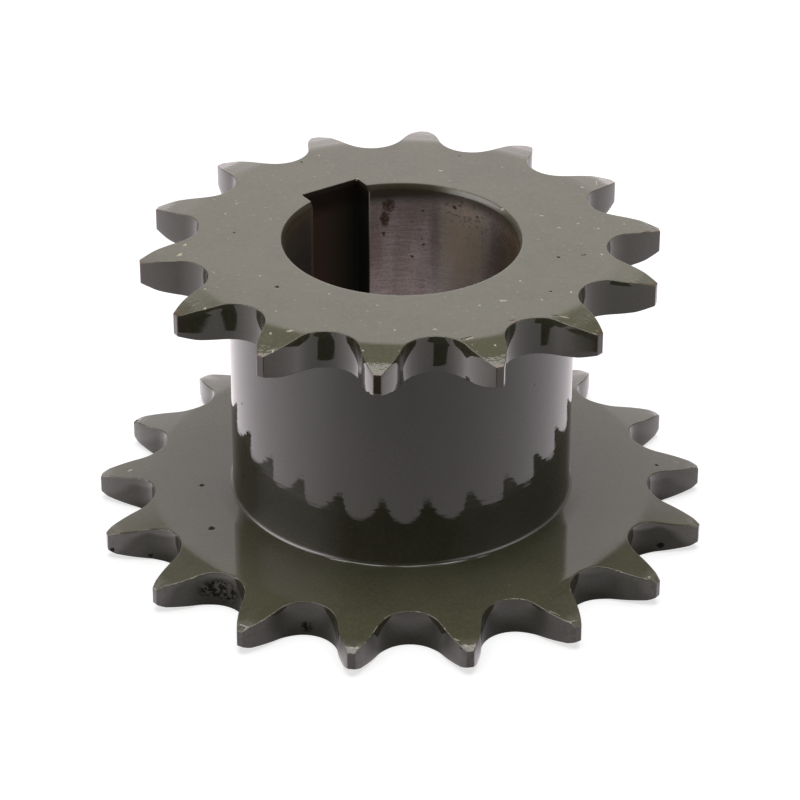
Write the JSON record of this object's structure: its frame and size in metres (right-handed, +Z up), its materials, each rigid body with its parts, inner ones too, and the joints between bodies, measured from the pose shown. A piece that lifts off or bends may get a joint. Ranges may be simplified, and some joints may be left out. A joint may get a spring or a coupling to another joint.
{
  "type": "chain sprocket",
  "caption": "Double roller-chain sprocket: a smaller and a larger toothed rim on one plain painted hub with a keyed through bore.",
  "frame": {"origin": "centre of the bore at the bottom face, which is the flat face of the larger rim", "axes": "+Z up the bore axis from the larger rim to the smaller one; +Y through the keyway and through one tooth gap of each rim"},
  "size_m": [0.0934, 0.0929, 0.0473],
  "materials": {
    "painted_steel": "gloss olive enamel over turned steel, with a bare machined bore"
  },
  "bodies": {
    "root": {"double_sprocket": "painted_steel"}
  },
  "joints": []
}
